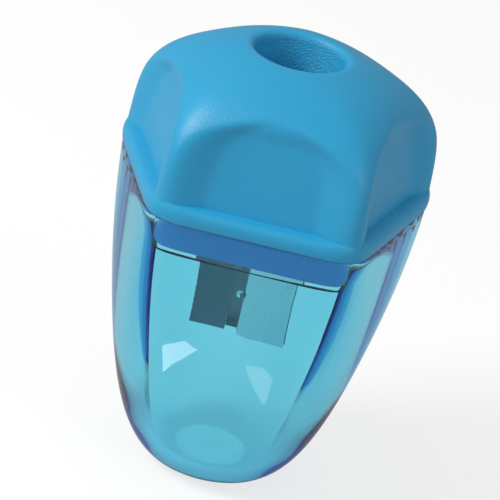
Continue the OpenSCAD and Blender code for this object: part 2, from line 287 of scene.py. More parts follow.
class Value:
    """Value that a node puts out. Numbers take the usual signs of arithmetic."""

    def __init__(self, make: "Nodes", socket: NodeSocket) -> None:
        """Keeps the helper of the tree and the socket that puts the value out."""
        self.make = make
        self.socket = socket

    def __add__(self, other: "Value | float") -> "Value":
        """Sum."""
        return self.make.calc("ADD", self, other)

    def __sub__(self, other: "Value | float") -> "Value":
        """Difference."""
        return self.make.calc("SUBTRACT", self, other)

    def __rsub__(self, other: float) -> "Value":
        """Difference from a plain number."""
        return self.make.calc("SUBTRACT", other, self)

    def __mul__(self, other: "Value | float") -> "Value":
        """Product."""
        return self.make.calc("MULTIPLY", self, other)

    def __truediv__(self, other: "Value | float") -> "Value":
        """Quotient."""
        return self.make.calc("DIVIDE", self, other)

    def __rtruediv__(self, other: float) -> "Value":
        """Quotient of a plain number."""
        return self.make.calc("DIVIDE", other, self)

    def __pow__(self, other: "Value | float") -> "Value":
        """Power."""
        return self.make.calc("POWER", self, other)

    def __gt__(self, other: "Value | float") -> "Value":
        """1 where it is greater, 0 elsewhere."""
        return self.make.calc("GREATER_THAN", self, other)

    def __lt__(self, other: "Value | float") -> "Value":
        """1 where it is less, 0 elsewhere."""
        return self.make.calc("LESS_THAN", self, other)


# What a node's input takes: the value that another node puts out, or a plain one.
Feed = Value | float | tuple | str


class Nodes:
    """Adds nodes to a tree and joins them."""

    COLOUR_MIX_INPUTS = (0, 6, 7)
    COLOUR_MIX_OUTPUT = 2

    def __init__(self, tree: NodeTree) -> None:
        """Keeps the tree that nodes are added to."""
        self.tree = tree

    def feed(self, target: NodeSocket, value: Feed) -> None:
        """Joins a value to an input, or sets the input to a plain one.

        Args:
            target: The input.
            value: The value that it takes.
        """
        if isinstance(value, Value):
            self.tree.links.new(value.socket, target)
        else:
            target.default_value = value

    def fill(self, node: Node, **values: Feed) -> None:
        """Feeds a node's inputs by name, with _ for a space."""
        for label, value in values.items():
            self.feed(node.inputs[label.replace("_", " ")], value)

    def add(self, kind: str, **values: Feed | NodeTree) -> Node:
        """Adds a node.

        Args:
            kind: Node type, such as ShaderNodeBump.
            **values: Values of its properties and of its inputs.

        Returns:
            The new node.
        """
        node = self.tree.nodes.new(kind)
        for key, value in values.items():
            if hasattr(node, key):
                setattr(node, key, value)
            else:
                self.fill(node, **{key: value})
        return node

    def out(self, kind: str, output: str, **values: Feed | NodeTree) -> Value:
        """Adds a node and gives one of its outputs."""
        return Value(self, self.add(kind, **values).outputs[output])

    def outs(self, kind: str, **values: Feed | NodeTree) -> list[Value]:
        """Adds a node and gives all its outputs in order."""
        return [Value(self, output) for output in self.add(kind, **values).outputs]

    def calc(self, operation: str, *values: Value | float, clamp: bool = False) -> Value:
        """Adds a Math node.

        Args:
            operation: What it works out, such as COSINE.
            *values: Its inputs in order.
            clamp: Keeps the result between 0 and 1.

        Returns:
            Its result.
        """
        node = self.add("ShaderNodeMath", operation=operation, use_clamp=clamp)
        for value, target in zip(values, node.inputs):
            self.feed(target, value)
        return Value(self, node.outputs[0])

    def total(self, operation: str, values: list[Value]) -> Value:
        """Chains a Math operation, such as ADD or MINIMUM, over several values."""
        return reduce(lambda result, value: self.calc(operation, result, value), values)

    def mix(self, share: Value, first: Feed, second: Feed) -> Value:
        """Mixes two colours.

        Args:
            share: Share of the second colour.
            first: The first colour.
            second: The second colour.

        Returns:
            The mixed colour.
        """
        node = self.add("ShaderNodeMix", data_type="RGBA")
        for index, value in zip(self.COLOUR_MIX_INPUTS, (share, first, second)):
            self.feed(node.inputs[index], value)
        return Value(self, node.outputs[self.COLOUR_MIX_OUTPUT])

    def eased(
        self,
        value: Value,
        start: Value | float,
        end: Value | float,
        low: float = 0.0,
        high: float = 1.0,
    ) -> Value:
        """Eases from one number to another.

        Args:
            value: The value that is followed.
            start: Where the result leaves low.
            end: Where the result reaches high.
            low: The first result.
            high: The last result.

        Returns:
            The eased number.
        """
        node = self.add("ShaderNodeMapRange", interpolation_type="SMOOTHSTEP", Value=value)
        self.fill(node, From_Min=start, From_Max=end, To_Min=low, To_Max=high)
        return Value(self, node.outputs["Result"])


def new_tree(
    name: str, kind: str, inputs: dict[str, str], outputs: dict[str, str]
) -> tuple[Nodes, dict[str, Value], Node]:
    """Starts a node group with named sockets.

    Args:
        name: Name of the group.
        kind: Type of the tree.
        inputs: Type of each input by its name, in order.
        outputs: Type of each output by its name, in order.

    Returns:
        A helper for the tree, its inputs' values by name, and its output node.
    """
    tree = bpy.data.node_groups.new(name, kind)
    for way, sockets in (("INPUT", inputs), ("OUTPUT", outputs)):
        for label, socket_type in sockets.items():
            tree.interface.new_socket(label, in_out=way, socket_type=socket_type)
    make = Nodes(tree)
    given = dict(zip(inputs, make.outs("NodeGroupInput")))
    return make, given, make.add("NodeGroupOutput")


def new_material(name: str) -> tuple[Material, Nodes, Node, Node]:
    """Starts a material.

    Args:
        name: Name of the material.

    Returns:
        The material, a helper for its nodes, its Principled BSDF and its output node.
    """
    made = bpy.data.materials.new(name)
    made.use_nodes = True
    nodes = made.node_tree.nodes
    return made, Nodes(made.node_tree), nodes["Principled BSDF"], nodes["Material Output"]


def opaque(colour: Colour) -> tuple[float, float, float, float]:
    """Colour with a full fourth value, as a colour input takes it."""
    return (*colour, 1.0)


# ---------------------------------------------------------------- finishes

# Scale of the wide waviness, as a share of the grain's scale.
COARSE_SHARE = 0.035


def grain_group() -> NodeTree:
    """Shader group of moulded or cast grain.

    Returns:
        A group with Vector, Scale, Roughness and Spread inputs that puts out Height and Roughness.
    """
    name = "moulded grain"
    if name in bpy.data.node_groups:
        return bpy.data.node_groups[name]
    number = "NodeSocketFloat"
    make, given, result = new_tree(
        name,
        "ShaderNodeTree",
        {"Vector": "NodeSocketVector", "Scale": number, "Roughness": number, "Spread": number},
        {"Height": number, "Roughness": number},
    )
    place, scale = given["Vector"], given["Scale"]
    noise = "ShaderNodeTexNoise"
    fine = make.out(noise, "Fac", Vector=place, Scale=scale, Detail=2.0, Roughness=0.6)
    wide = make.out(noise, "Fac", Vector=place, Scale=scale * COARSE_SHARE, Detail=3.0)
    make.fill(result, Height=fine, Roughness=(wide - 0.5) * given["Spread"] + given["Roughness"])
    return make.tree


def grained(
    make: Nodes, place: Value, scale: float, roughness: float, spread: float
) -> list[Value]:
    """Places the grain group.

    Args:
        make: Helper of the material's tree.
        place: Where the grain is looked up.
        scale: Scale of the grain.
        roughness: Mean roughness.
        spread: How far the roughness varies.

    Returns:
        The grain's height and roughness.
    """
    group = grain_group()
    sizes = {"Scale": scale, "Roughness": roughness, "Spread": spread}
    return make.outs("ShaderNodeGroup", node_tree=group, Vector=place, **sizes)


@dataclass(frozen=True)
class GrainFinish:
    """Opaque moulded or cast surface with a spark-eroded grain.

    The grain is deeper within the bore's radius of the axis. Below a given height the colour
    turns a deeper blue: painted light that stands in for the tint of light seen through the
    clear wall in front of the skirt. Inside a given box, which holds the lowest and highest
    value along each axis, the colour turns a lighter grey: partly the bare metal of machined
    faces, partly a painted reflection that lightens their shaded hollows.
    """

    name: str
    colour: Colour
    shade: Colour
    roughness: float
    spread: float
    grain_scale: float
    grain_depth: float
    mottle_share: float = 0.02
    # Box and lighter grey of the cut faces: partly bare machined metal, partly a painted reflection
    # that lightens the shaded slot and cone.
    machined_and_sheen_box: tuple[tuple[float, float], ...] = ()
    machined_and_sheen_colour: Colour = (0.5, 0.52, 0.55)
    bore: float = 0.0
    bore_grain: float = 1.0
    # Height below which the skirt is painted a deeper blue, and that blue: painted light for the
    # tint the clear wall gives it.
    painted_tint_below: float | None = None
    painted_tint_colour: Colour = (0.010, 0.30, 0.78)

    def material(self) -> Material:
        """Builds the material.

        Returns:
            The new material.
        """
        made, make, shader, _ = new_material(self.name)
        place = make.out("ShaderNodeTexCoord", "Object")
        x, y, z = make.outs("ShaderNodeSeparateXYZ", Vector=place)
        height, roughness = grained(make, place, self.grain_scale, self.roughness, self.spread)
        in_bore = make.calc("SQRT", x * x + y * y) < self.bore
        height = height * (in_bore * (self.bore_grain - 1) + 1.0)
        normal = make.out("ShaderNodeBump", "Normal", Distance=self.grain_depth, Height=height)
        mottle_scale = self.grain_scale * self.mottle_share
        mottle = make.out("ShaderNodeTexNoise", "Fac", Vector=place, Scale=mottle_scale, Detail=2.0)
        colour = make.mix(mottle, opaque(self.colour), opaque(self.shade))
        # Painted light: below the skirt's height the colour turns deeper blue, for the tint of
        # light seen through the clear wall.
        if self.painted_tint_below is not None:
            colour = make.mix(z < self.painted_tint_below, colour, opaque(self.painted_tint_colour))
        # Lighter grey inside the box: bare machined metal, and partly a painted reflection that
        # lightens the shaded slot and cone.
        if self.machined_and_sheen_box:
            spans = zip((x, y, z), self.machined_and_sheen_box)
            inside = [(axis > low) * (axis < high) for axis, (low, high) in spans]
            colour = make.mix(make.total("MULTIPLY", inside), colour, opaque(self.machined_and_sheen_colour))
        make.fill(shader, Base_Color=colour, Roughness=roughness, Normal=normal)
        return made


@dataclass(frozen=True)
class ClearFinish:
    """Tinted clear moulding with its real thickness."""

    name: str
    surface: Colour
    tint: Colour
    density: float
    index: float
    roughness: float
    flow_scale: float = 160.0
    flow_strength: float = 0.04
    flow_depth: float = 0.02 * MM

    def material(self) -> Material:
        """Builds the material.

        Returns:
            The new material.
        """
        made, make, shader, output = new_material(self.name)
        tint = {"Color": opaque(self.tint), "Density": self.density}
        make.fill(output, Volume=make.out("ShaderNodeVolumeAbsorption", "Volume", **tint))
        place = make.out("ShaderNodeTexCoord", "Object")
        waves = {"Scale": self.flow_scale, "Detail": 1.0}
        flow = make.out("ShaderNodeTexNoise", "Fac", Vector=place, **waves)
        bump = {"Strength": self.flow_strength, "Distance": self.flow_depth, "Height": flow}
        normal = make.out("ShaderNodeBump", "Normal", **bump)
        make.fill(shader, Base_Color=opaque(self.surface), Roughness=self.roughness, IOR=self.index)
        make.fill(shader, Transmission_Weight=1.0, Normal=normal)
        return made


@dataclass(frozen=True)
class SteelFinish:
    """Ground or plated steel with fine lines along one direction."""

    name: str
    colour: Colour
    roughness: float
    line_scale: tuple[float, float, float]
    line_depth: float = 0.004 * MM
    spread: float = 0.15

    def material(self) -> Material:
        """Builds the material.

        Returns:
            The new material.
        """
        made, make, shader, _ = new_material(self.name)
        place = make.out("ShaderNodeTexCoord", "Object")
        stretched = make.out("ShaderNodeMapping", "Vector", Vector=place, Scale=self.line_scale)
        height, roughness = grained(make, stretched, 1.0, self.roughness, self.spread)
        normal = make.out("ShaderNodeBump", "Normal", Distance=self.line_depth, Height=height)
        make.fill(shader, Base_Color=opaque(self.colour), Metallic=1.0)
        make.fill(shader, Roughness=roughness, Normal=normal)
        return made


HEAD_PLASTIC = GrainFinish(
    "sky blue moulding",
    colour=(0.018, 0.335, 0.61),
    shade=(0.024, 0.355, 0.64),
    roughness=0.4,
    spread=0.12,
    grain_scale=4200,
    grain_depth=0.05 * MM,
    bore=6.3 * MM,
    bore_grain=4.0,
    # Below this height the skirt is painted a deeper blue: painted light for the tint the clear
    # wall gives it.
    painted_tint_below=42.45 * MM,
)
CLEAR_STYRENE = ClearFinish(
    "clear cyan moulding",
    surface=(0.69, 0.90, 0.91),
    tint=(0.048, 0.752, 0.904),
    density=400,
    index=1.5,
    roughness=0.02,
)
CAST_METAL = GrainFinish(
    "cast insert",
    colour=(0.12, 0.15, 0.19),
    shade=(0.15, 0.18, 0.22),
    roughness=0.45,
    spread=0.2,
    grain_scale=2500,
    grain_depth=0.02 * MM,
    # Box of the cut slot, seat and cone, painted lighter: bare machined metal plus a painted
    # reflection in their shaded hollows.
    machined_and_sheen_box=((-2.03 * MM, 4.2 * MM), (-9 * MM, 4.3 * MM), (20.05 * MM, 44.95 * MM)),
)
BLADE_STEEL = SteelFinish("ground blade", (0.72, 0.74, 0.76), 0.25, (9000, 500, 500))
SCREW_STEEL = SteelFinish("plated screw", (0.68, 0.68, 0.66), 0.3, (3000, 3000, 3000))


# ---------------------------------------------------------------- shape trees


@dataclass(frozen=True)
class WallTree:
    """Geometry Nodes that bend a plain tube of radius 1 and height 1 into the receptacle's walls.

    A point's direction comes from its x and y, and its drop below the rim from its z. Its attribute
    follows says whether it belongs to a wall, inner whether that is the inner one, and grow widens
    it.
    """

    outline: Outline
    name: str = "receptacle wall"
    attributes: tuple[str, ...] = ("inner", "follows", "grow")
    sizes: tuple[str, ...] = (
        "Apothem", "Rim Height", "Wall", "Floor", "Foot Apothem", "Rim Sharpness", "Foot Sharpness",
        "Soft Sharpness", "Corner Fade", "Corner Ridge", "Ridge Start", "Ridge End", "Belly Power",
        "Belly Root", "Gate Height", "Gate Radius", "Gate Rise",
    )
    foot_wall_share: float = 0.5
    gate_edge: float = 1.3

    def radius_group(self, name: str, size: str) -> tuple[Nodes, Value, Node, list[Value]]:
        """Starts a group that gives an outline's radius in a direction.

        Args:
            name: Name of the group.
            size: Name of its second input, after Direction.

        Returns:
            A helper for it, its second input, its output node, and for each face the cosine of the
            angle between the direction and the face.
        """
        number = "NodeSocketFloat"
        inputs = {"Direction": number, size: number}
        make, given, result = new_tree(name, "GeometryNodeTree", inputs, {"Radius": number})
        turns = [given["Direction"] - normal for normal in self.outline.normals.tolist()]
        return make, given[size], result, [make.calc("COSINE", turn) for turn in turns]

    def outline_group(self) -> NodeTree:
        """Group of the rounded five-sided outline.

        Returns:
            The group, with the inputs Direction and Sharpness.
        """
        make, sharpness, result, facings = self.radius_group("five-sided outline", "Sharpness")
        shares = [make.calc("MAXIMUM", facing, 0.0) ** sharpness for facing in facings]
        make.fill(result, Radius=make.total("ADD", shares) ** (-1.0 / sharpness))
        return make.tree

    def arcs_group(self) -> NodeTree:
        """Group of a crisp outline of five arcs whose ridges lie at a ratio.

        Returns:
            The group, with the inputs Direction and Ratio.
        """
        make, ratio, result, facings = self.radius_group("five arcs", "Ratio")
        turn = 2 * math.cos(self.outline.face_angle / 2)
        centre = (ratio * ratio - 1.0) / (2.0 - ratio * turn)
        constant = centre * 2.0 + 1.0
        radii = []
        for facing in facings:
            along = facing * centre
            radii.append(make.calc("SQRT", along * along + constant) - along)
        make.fill(result, Radius=make.total("MINIMUM", radii))
        return make.tree

    def tree(self) -> NodeTree:
        """Builds the whole tree.

        Returns:
            The tree, with the inputs Geometry, Material and one for each size.
        """
        passed = {"Geometry": "NodeSocketGeometry"}
        inputs = passed | {"Material": "NodeSocketMaterial"}
        inputs |= dict.fromkeys(self.sizes, "NodeSocketFloat")
        make, given, result = new_tree(self.name, "GeometryNodeTree", inputs, passed)
        plan, arcs = self.outline_group(), self.arcs_group()

        def grouped(tree: NodeTree, direction: Value | float, size: Value) -> Value:
            """Places one of the two outline groups.

            Args:
                tree: The group.
                direction: Value of its first input.
                size: Value of its second input, the sharpness or the ratio.

            Returns:
                The outline's radius in the direction.
            """
            node = make.add("GeometryNodeGroup", node_tree=tree, Direction=direction)
            make.feed(node.inputs[1], size)
            return Value(make, node.outputs["Radius"])

        def stored(label: str) -> Value:
            """Reads one of the tube's attributes."""
            return make.out("GeometryNodeInputNamedAttribute", "Attribute", Name=label)

        place = make.out("GeometryNodeInputPosition", "Position")
        across, along, up = make.outs("ShaderNodeSeparateXYZ", Vector=place)
        direction, drop = make.calc("ARCTAN2", along, across), 1.0 - up
        inner = stored("inner")

        def faded(rim_sharpness: Value) -> Value:
            """Lets a sharpness fade down the wall.

            Args:
                rim_sharpness: The sharpness at the rim.

            Returns:
                The sharpness at a point's drop, which ends at the foot's.
            """
            left = make.calc("MAXIMUM", 1.0 - drop, 0.0) ** given["Corner Fade"]
            return (rim_sharpness - given["Foot Sharpness"]) * left + given["Foot Sharpness"]

        wall = given["Wall"] * inner
        apothem = given["Apothem"] - wall
        foot_share = (given["Foot Apothem"] - wall * self.foot_wall_share) / apothem
        bent = make.calc("MAXIMUM", 1.0 - drop ** given["Belly Power"], 0.0)
        belly = (1.0 - foot_share) * bent ** given["Belly Root"] + foot_share

        sharpness = faded(given["Rim Sharpness"])
        smooth_plan = grouped(plan, direction, sharpness)
        front = self.outline.front
        corner = front + self.outline.face_angle / 2
        ratio = grouped(plan, corner, sharpness) / grouped(plan, front, sharpness)
        crisp = grouped(arcs, direction, ratio + given["Corner Ridge"])
        rounded = grouped(plan, direction, faded(given["Soft Sharpness"]))
        soft = make.eased(drop, given["Ridge Start"], given["Ridge End"])
        cavity = (rounded - crisp) * soft + crisp
        section = (cavity - smooth_plan) * inner + smooth_plan
        radius = apothem * belly * section * (stored("grow") + 1.0)

        x = radius * make.calc("COSINE", direction)
        y = radius * make.calc("SINE", direction)
        z = (given["Floor"] * inner - given["Rim Height"]) * drop + given["Rim Height"]
        above = z - given["Gate Height"]
        reach = make.calc("SQRT", x * x + above * above)
        mark = make.eased(self.gate_edge - reach / given["Gate Radius"], 0.0, 1.0)
        lift = mark * ((y < 0.0) * (1.0 - inner)) * given["Gate Rise"]

        point = make.out("ShaderNodeCombineXYZ", "Vector", X=x, Y=y - lift, Z=z)
        out, shape = make.out, "Geometry"
        bent_places = {"Selection": stored("follows") > 0.5, "Position": point}
        moved = out("GeometryNodeSetPosition", shape, Geometry=given[shape], **bent_places)
        real = out("GeometryNodeRealizeInstances", shape, Geometry=moved)
        paint = out("GeometryNodeSetMaterial", shape, Geometry=real, Material=given["Material"])
        make.fill(result, Geometry=paint)
        return make.tree

    def bend(self, tube: Mesh, material: Material, cup: "Receptacle") -> Mesh:
        """Runs the tree on a tube.

        Args:
            tube: The plain tube with its attributes.
            material: The finish that the tree sets.
            cup: Holds the sizes, in fields that are named as the tree's inputs are.

        Returns:
            The bent mesh.
        """
        carrier = placed(tube.name, tube)
        step = carrier.modifiers.new(self.name, "NODES")
        step.node_group = self.tree()
        values = {"Material": material}
        for label in self.sizes:
            values[label] = float(getattr(cup, label.lower().replace(" ", "_")))
        for item in step.node_group.interface.items_tree:
            if item.in_out == "INPUT" and item.name in values:
                step[item.identifier] = values[item.name]
        graph = bpy.context.evaluated_depsgraph_get()
        mesh = bpy.data.meshes.new_from_object(carrier.evaluated_get(graph))
        bpy.data.objects.remove(carrier)
        for label in self.attributes:
            mesh.attributes.remove(mesh.attributes[label])
        return mesh


# ---------------------------------------------------------------- sub-assemblies


@dataclass
class Receptacle:
    """Clear tapered cup that catches the shavings."""

    tabs: Tabs = field(default_factory=Tabs)
    apothem: float = 18.9 * MM
    rim_height: float = 42.5 * MM
    wall: float = 1.5 * MM
    rim_wall: float = 1.0 * MM
    floor: float = 1.8 * MM
    foot_apothem: float = 5.4 * MM
    bay_depth: float = 4.7 * MM
    side_ledge_depth: float = 1.6 * MM
    edge: float = 0.12 * MM
    edge_middle: float = 0.3
    rim_sharpness: float = 13
    skirt_sharpness: float = 12
    foot_sharpness: float = 3.1
    corner_ridge: float = 0.018
    ridge_start: float = 0.62
    ridge_end: float = 0.88
    soft_sharpness: float = 10
    belly_power: float = 2.13
    belly_root: float = 0.408
    corner_fade: float = 3.1
    gate_height: float = 34.9 * MM
    gate_radius: float = 0.5 * MM
    gate_rise: float = 0.15 * MM
    gate_reach: float = 1.4
    gate_steps: int = 17
    around: int = 600
    rows: int = 50

    @cached_property
    def angles(self) -> np.ndarray:
        """Directions of the rings' points.

        Returns:
            Directions in radians, closer at the ends of the bays and at the moulding mark.
        """
        bore = self.apothem - self.rim_wall
        ends = self.tabs.directions(bore, self.skirt_sharpness, self.tabs.bay_width)
        half = math.atan2(self.gate_reach * self.gate_radius, self.apothem)
        mark = self.tabs.outline.front + np.linspace(-half, half, self.gate_steps)
        return np.unique(np.concatenate([even_directions(self.around), ends, mark]))

    def tube_ring(self, drops: np.ndarray | float, inner: float, grow: float = 0) -> np.ndarray:
        """Ring of the plain tube that the tree bends into a wall.

        Args:
            drops: 0 at the rim, 1 at the foot or the floor, for each direction or for all.
            inner: 1 for the inner wall, 0 for the outer one.
            grow: Share by which the ring is widened.

        Returns:
            The ring's points with their attributes.
        """
        one = np.ones_like(self.angles)
        return np.column_stack([ring(1, self.angles, 1 - drops), inner * one, one, grow * one])

    def fixed_ring(self, radii: np.ndarray | float, heights: np.ndarray | float) -> np.ndarray:
        """Ring whose points keep their places."""
        none = np.zeros_like(self.angles)
        return np.column_stack([ring(radii, self.angles, heights), none, none, none])

    def drops(self) -> np.ndarray:
        """Drops of the rings, crowded at the foot and at the moulding mark.

        Returns:
            The drops from the foot, at 1, to the rim, at 0.
        """
        even = np.sin(np.linspace(0, math.pi / 2, self.rows))
        steps = np.linspace(-self.gate_reach, self.gate_reach, self.gate_steps)
        mark = 1 - self.gate_height / self.rim_height + steps * self.gate_radius / self.rim_height
        return np.unique(np.concatenate([even, mark]))[::-1]

    def build(self) -> Object:
        """Builds the cup as one closed wall.

        Returns:
            The cup, with its finish.
        """
        angles, drops = self.angles, self.drops()
        outside = [self.tube_ring(drop, 0) for drop in drops[:-1]]
        outline, fixed = self.tabs.outline, self.fixed_ring
        rim = self.apothem * outline.radius(angles, self.rim_sharpness)
        bore = (self.apothem - self.rim_wall) * outline.radius(angles, self.skirt_sharpness)
        top, edge, depth = self.rim_height, self.edge, self.rim_height - self.floor
        middle = edge * self.edge_middle
        inside = self.tabs.inside(angles, bore, self.tabs.bay_width)
        sunk = self.tabs.depths(inside, self.side_ledge_depth, self.bay_depth)
        lip = [
            fixed(rim, top - edge),
            fixed(rim - middle, top - middle),
            fixed(rim - edge, top),
            fixed(bore + edge, top),
            fixed(bore + middle, top - middle),
            fixed(bore, top - edge),
            fixed(bore, top - sunk + edge),
            fixed(bore - edge, top - sunk),
            self.tube_ring(sunk / depth, 1, edge / self.apothem),
        ]
        lower = drops[drops * depth > self.side_ledge_depth + edge][::-1]
        walls = [self.tube_ring(np.maximum(drop, (sunk + edge) / depth), 1) for drop in lower]
        rings = [fixed(0, 0), *outside, *lip, *walls, fixed(0, self.floor)]
        bender = WallTree(outline)
        tube = loft("clear_receptacle", rings, False, bender.attributes)
        return finish_mesh("clear_receptacle", bender.bend(tube, CLEAR_STYRENE.material(), self))

    def dress(self, piece: Object) -> None:
        """Gives the cup its place in the frame.

        Args:
            piece: The cup.
        """
        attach(piece, Body.RECEPTACLE.value)
        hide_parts("receptacle")


@dataclass
class Head:
    """Domed head with scooped panels, funnel, skirt and insert pocket."""

    tabs: Tabs = field(default_factory=Tabs)
    rim_height: float = 42.5 * MM
    head_height: float = 20 * MM
    flange_apothem: float = 19 * MM
    corner_sharpness: float = 13
    flange_height: float = 2.4 * MM
    flange_bulge: float = 0.1 * MM
    groove_step: float = 0.1 * MM
    band_roll: float = 0.45 * MM
    roll_power: float = 5
    groove_gap: float = 0.2 * MM
    scoop_depth: float = 1.65 * MM
    scoop_lean: float = 0.13
    scoop_softness: float = 1.0 * MM
    fade_start: float = math.radians(22)
    fade_end: float = math.radians(36)
    arch_rise: float = 0.75
    arch_power: float = 6
    crest_fade_start: float = 0.58
    crest_fade_end: float = 0.86
    hollow_rise: float = 0.8
    hollow_slant: float = 1.5
    pillar_draft: float = 0.04
    crest_radius: float = 7.2 * MM
    dome_power: float = 4
    dome_root: float = 0.8
    dome_fade: float = 3
    head_wall: float = 1.6 * MM
    skirt_apothem: float = 17.78 * MM
    skirt_sharpness: float = 12
    skirt_wall: float = 1.1 * MM
    tab_length: float = 4 * MM
    side_skirt_length: float = 1.2 * MM
    mouth_radius: float = 6.1 * MM
    lip_radius: float = 1 * MM
    throat_radius: float = 4.35 * MM
    throat_length: float = 2 * MM
    funnel_wall: float = 1.6 * MM
    pocket_depth: float = 6.5 * MM
    pocket_half_width: float = 7.55 * MM
    pocket_back: float = 5.55 * MM
    pocket_front: float = 7.22 * MM
    pocket_wall: float = 1.3 * MM
    insert_top: float = 45 * MM
    edge: float = 0.1 * MM
    around: int = 360
    band_rows: int = 16
    band_start: float = 0.06
    dome_rows: int = 64
    dome_crowding: float = 1.8
    lip_rows: int = 14
    funnel_rows: int = 12
    hollow_rows: int = 24

    @property
    def top(self) -> float:
        """Height of the crest."""
        return self.rim_height + self.head_height

    @property
    def band_top(self) -> float:
        """Height of the groove above the flange's band."""
        return self.rim_height + self.flange_height

    @property
    def pillar_apothem(self) -> float:
        """Distance from the axis to the faces between the pillars, before they are scooped."""
        return self.flange_apothem - self.groove_step

    @property
    def tube_radius(self) -> float:
        """Outer radius of the funnel's tube."""
        return self.mouth_radius + self.funnel_wall

    @cached_property
    def angles(self) -> np.ndarray:
        """Directions of the rings' points.

        Returns:
            Directions in radians, exact at the pocket's corners and at the ends of the tabs.
        """
        corners = [
            math.atan2(y, x)
            for wall in (0, self.pocket_wall)
            for x in (-self.pocket_half_width - wall, self.pocket_half_width + wall)
            for y in (-self.pocket_front - wall, self.pocket_back + wall)
        ]
        ends = self.tabs.directions(self.skirt_apothem, self.skirt_sharpness, self.tabs.tab_width)
        return np.unique(np.concatenate([even_directions(self.around), corners, ends]))

    @cached_property
    def plan(self) -> np.ndarray:
        """Radius of the head's outline in each direction, for faces at distance 1."""
        return self.tabs.outline.radius(self.angles, self.corner_sharpness)

    @cached_property
    def skirt_plan(self) -> np.ndarray:
        """Radius of the skirt's outline in each direction, for faces at distance 1."""
        return self.tabs.outline.radius(self.angles, self.skirt_sharpness)

    def ring(self, radii: np.ndarray | float, heights: np.ndarray | float) -> np.ndarray:
        """One ring of the head."""
        return ring(radii, self.angles, heights)

    def height(self, rise: float) -> float:
        """Height of a rise, which is 0 at the groove and 1 at the crest."""
        return self.band_top + (self.top - self.band_top) * rise

    def dome(self, rise: float) -> float:
        """Distance from the axis to the unscooped dome.

        Args:
            rise: 0 at the groove, 1 at the crest.

        Returns:
            The distance across the faces.
        """
        curve = (1 - rise**self.dome_power) ** self.dome_root
        draft = self.pillar_draft * (self.height(rise) - self.band_top) * (1 - rise)
        return self.crest_radius + (self.pillar_apothem - self.crest_radius) * curve - draft

    def panel_apothem(self, rise: float) -> float:
        """Distance from the axis to the leaning panels."""
        lean = self.scoop_lean * (self.height(rise) - self.band_top)
        return self.pillar_apothem - self.scoop_depth - lean

    def arch(self, rise: float) -> float:
        """Width of the panels at a rise, as a share of their width at the foot."""
        return max(0.0, 1 - (rise / self.arch_rise) ** self.arch_power)

    def panel_share(self, width: float) -> np.ndarray:
        """Share of the panels in each direction: 1 across a panel, 0 at the pillars."""
        past = self.tabs.outline.from_face(self.angles) - self.fade_start * width
        return 1 - smooth(past / (self.fade_end - self.fade_start))

    def scooped(self, radii: np.ndarray, rise: float) -> np.ndarray:
        """Cuts a ring back to its panels.

        Args:
            radii: Radii of the unscooped ring.
            rise: 0 at the groove, 1 at the crest.

        Returns:
            The radii after the cut, which fades out toward the pillars and the panels' arched tops.
        """
        proud = radii - self.panel_apothem(rise) / np.cos(self.tabs.outline.from_face(self.angles))
        cut = (proud + np.sqrt(proud**2 + self.scoop_softness**2)) / 2
        return radii - cut * self.panel_share(self.arch(rise))

    def dome_ring(self, rise: float) -> np.ndarray:
        """Ring of the dome.

        Args:
            rise: 0 at the groove, 1 at the crest.

        Returns:
            The ring's points.
        """
        radii = self.dome(rise) * (1 + (1 - rise**self.dome_fade) * (self.plan - 1))
        past = (rise - self.crest_fade_start) / (self.crest_fade_end - self.crest_fade_start)
        fade = 1 - float(smooth(np.array(past)))
        return self.ring(radii + fade * (self.scooped(radii, rise) - radii), self.height(rise))

    def band_rings(self) -> list[np.ndarray]:
        """Rings of the rounded band at the foot of the head.

        Returns:
            The rings from the band's lower edge to the groove.
        """
        rings = [self.ring((self.flange_apothem - self.edge) * self.plan, self.rim_height)]
        deepest = self.groove_step + self.band_roll * self.panel_share(1)
        band = self.flange_height - self.groove_gap
        for share in np.sin(np.linspace(self.band_start, math.pi / 2, self.band_rows)):
            swell = self.flange_bulge * math.sin(math.pi * share)
            radii = (self.flange_apothem + swell) * self.plan - deepest * share**self.roll_power
            rings.append(self.ring(radii, self.rim_height + band * share))
        return rings

    def mouth_rings(self) -> list[np.ndarray]:
        """Rings of the lip, the funnel and the throat.

        Returns:
            The rings from the crest down to the pocket.
        """
        lip_low = self.top - self.lip_radius
        throat_top = self.insert_top + self.throat_length
        spots = []
        for turn in np.linspace(0, math.pi / 2, self.lip_rows):
            out = self.mouth_radius + self.lip_radius * (1 - math.sin(turn))
            spots.append((out, lip_low + self.lip_radius * math.cos(turn)))
        for share in np.linspace(0, 1, self.funnel_rows)[1:]:
            out = self.mouth_radius + (self.throat_radius - self.mouth_radius) * share
            spots.append((out, lip_low + (throat_top - lip_low) * share))
        spots.append((self.throat_radius, self.insert_top))
        return [self.ring(radius, z) for radius, z in spots]

    def box_radius(self, grow: float) -> np.ndarray:
        """Radii of the rectangular pocket.

        Args:
            grow: How far its walls are moved out.

        Returns:
            One radius for each direction.
        """
        across, along = np.cos(self.angles), np.sin(self.angles)
        depth = np.where(along < 0, self.pocket_front + grow, self.pocket_back + grow)
        width = (self.pocket_half_width + grow) / np.maximum(np.abs(across), TINY)
        return np.minimum(width, depth / np.maximum(np.abs(along), TINY))

    def bottom_rings(
        self, inner: np.ndarray, outer: np.ndarray, low: np.ndarray | float
    ) -> list[np.ndarray]:
        """Rings round the lower edge of a wall.

        Args:
            inner: Radii of the wall's inside.
            outer: Radii of its outside.
            low: Height of its lower edge.

        Returns:
            The rings from the inside to the outside, with both corners eased.
        """
        edge = self.edge
        spots = ((inner, low + edge), (inner + edge, low), (outer - edge, low), (outer, low + edge))
        return [self.ring(radii, heights) for radii, heights in spots]

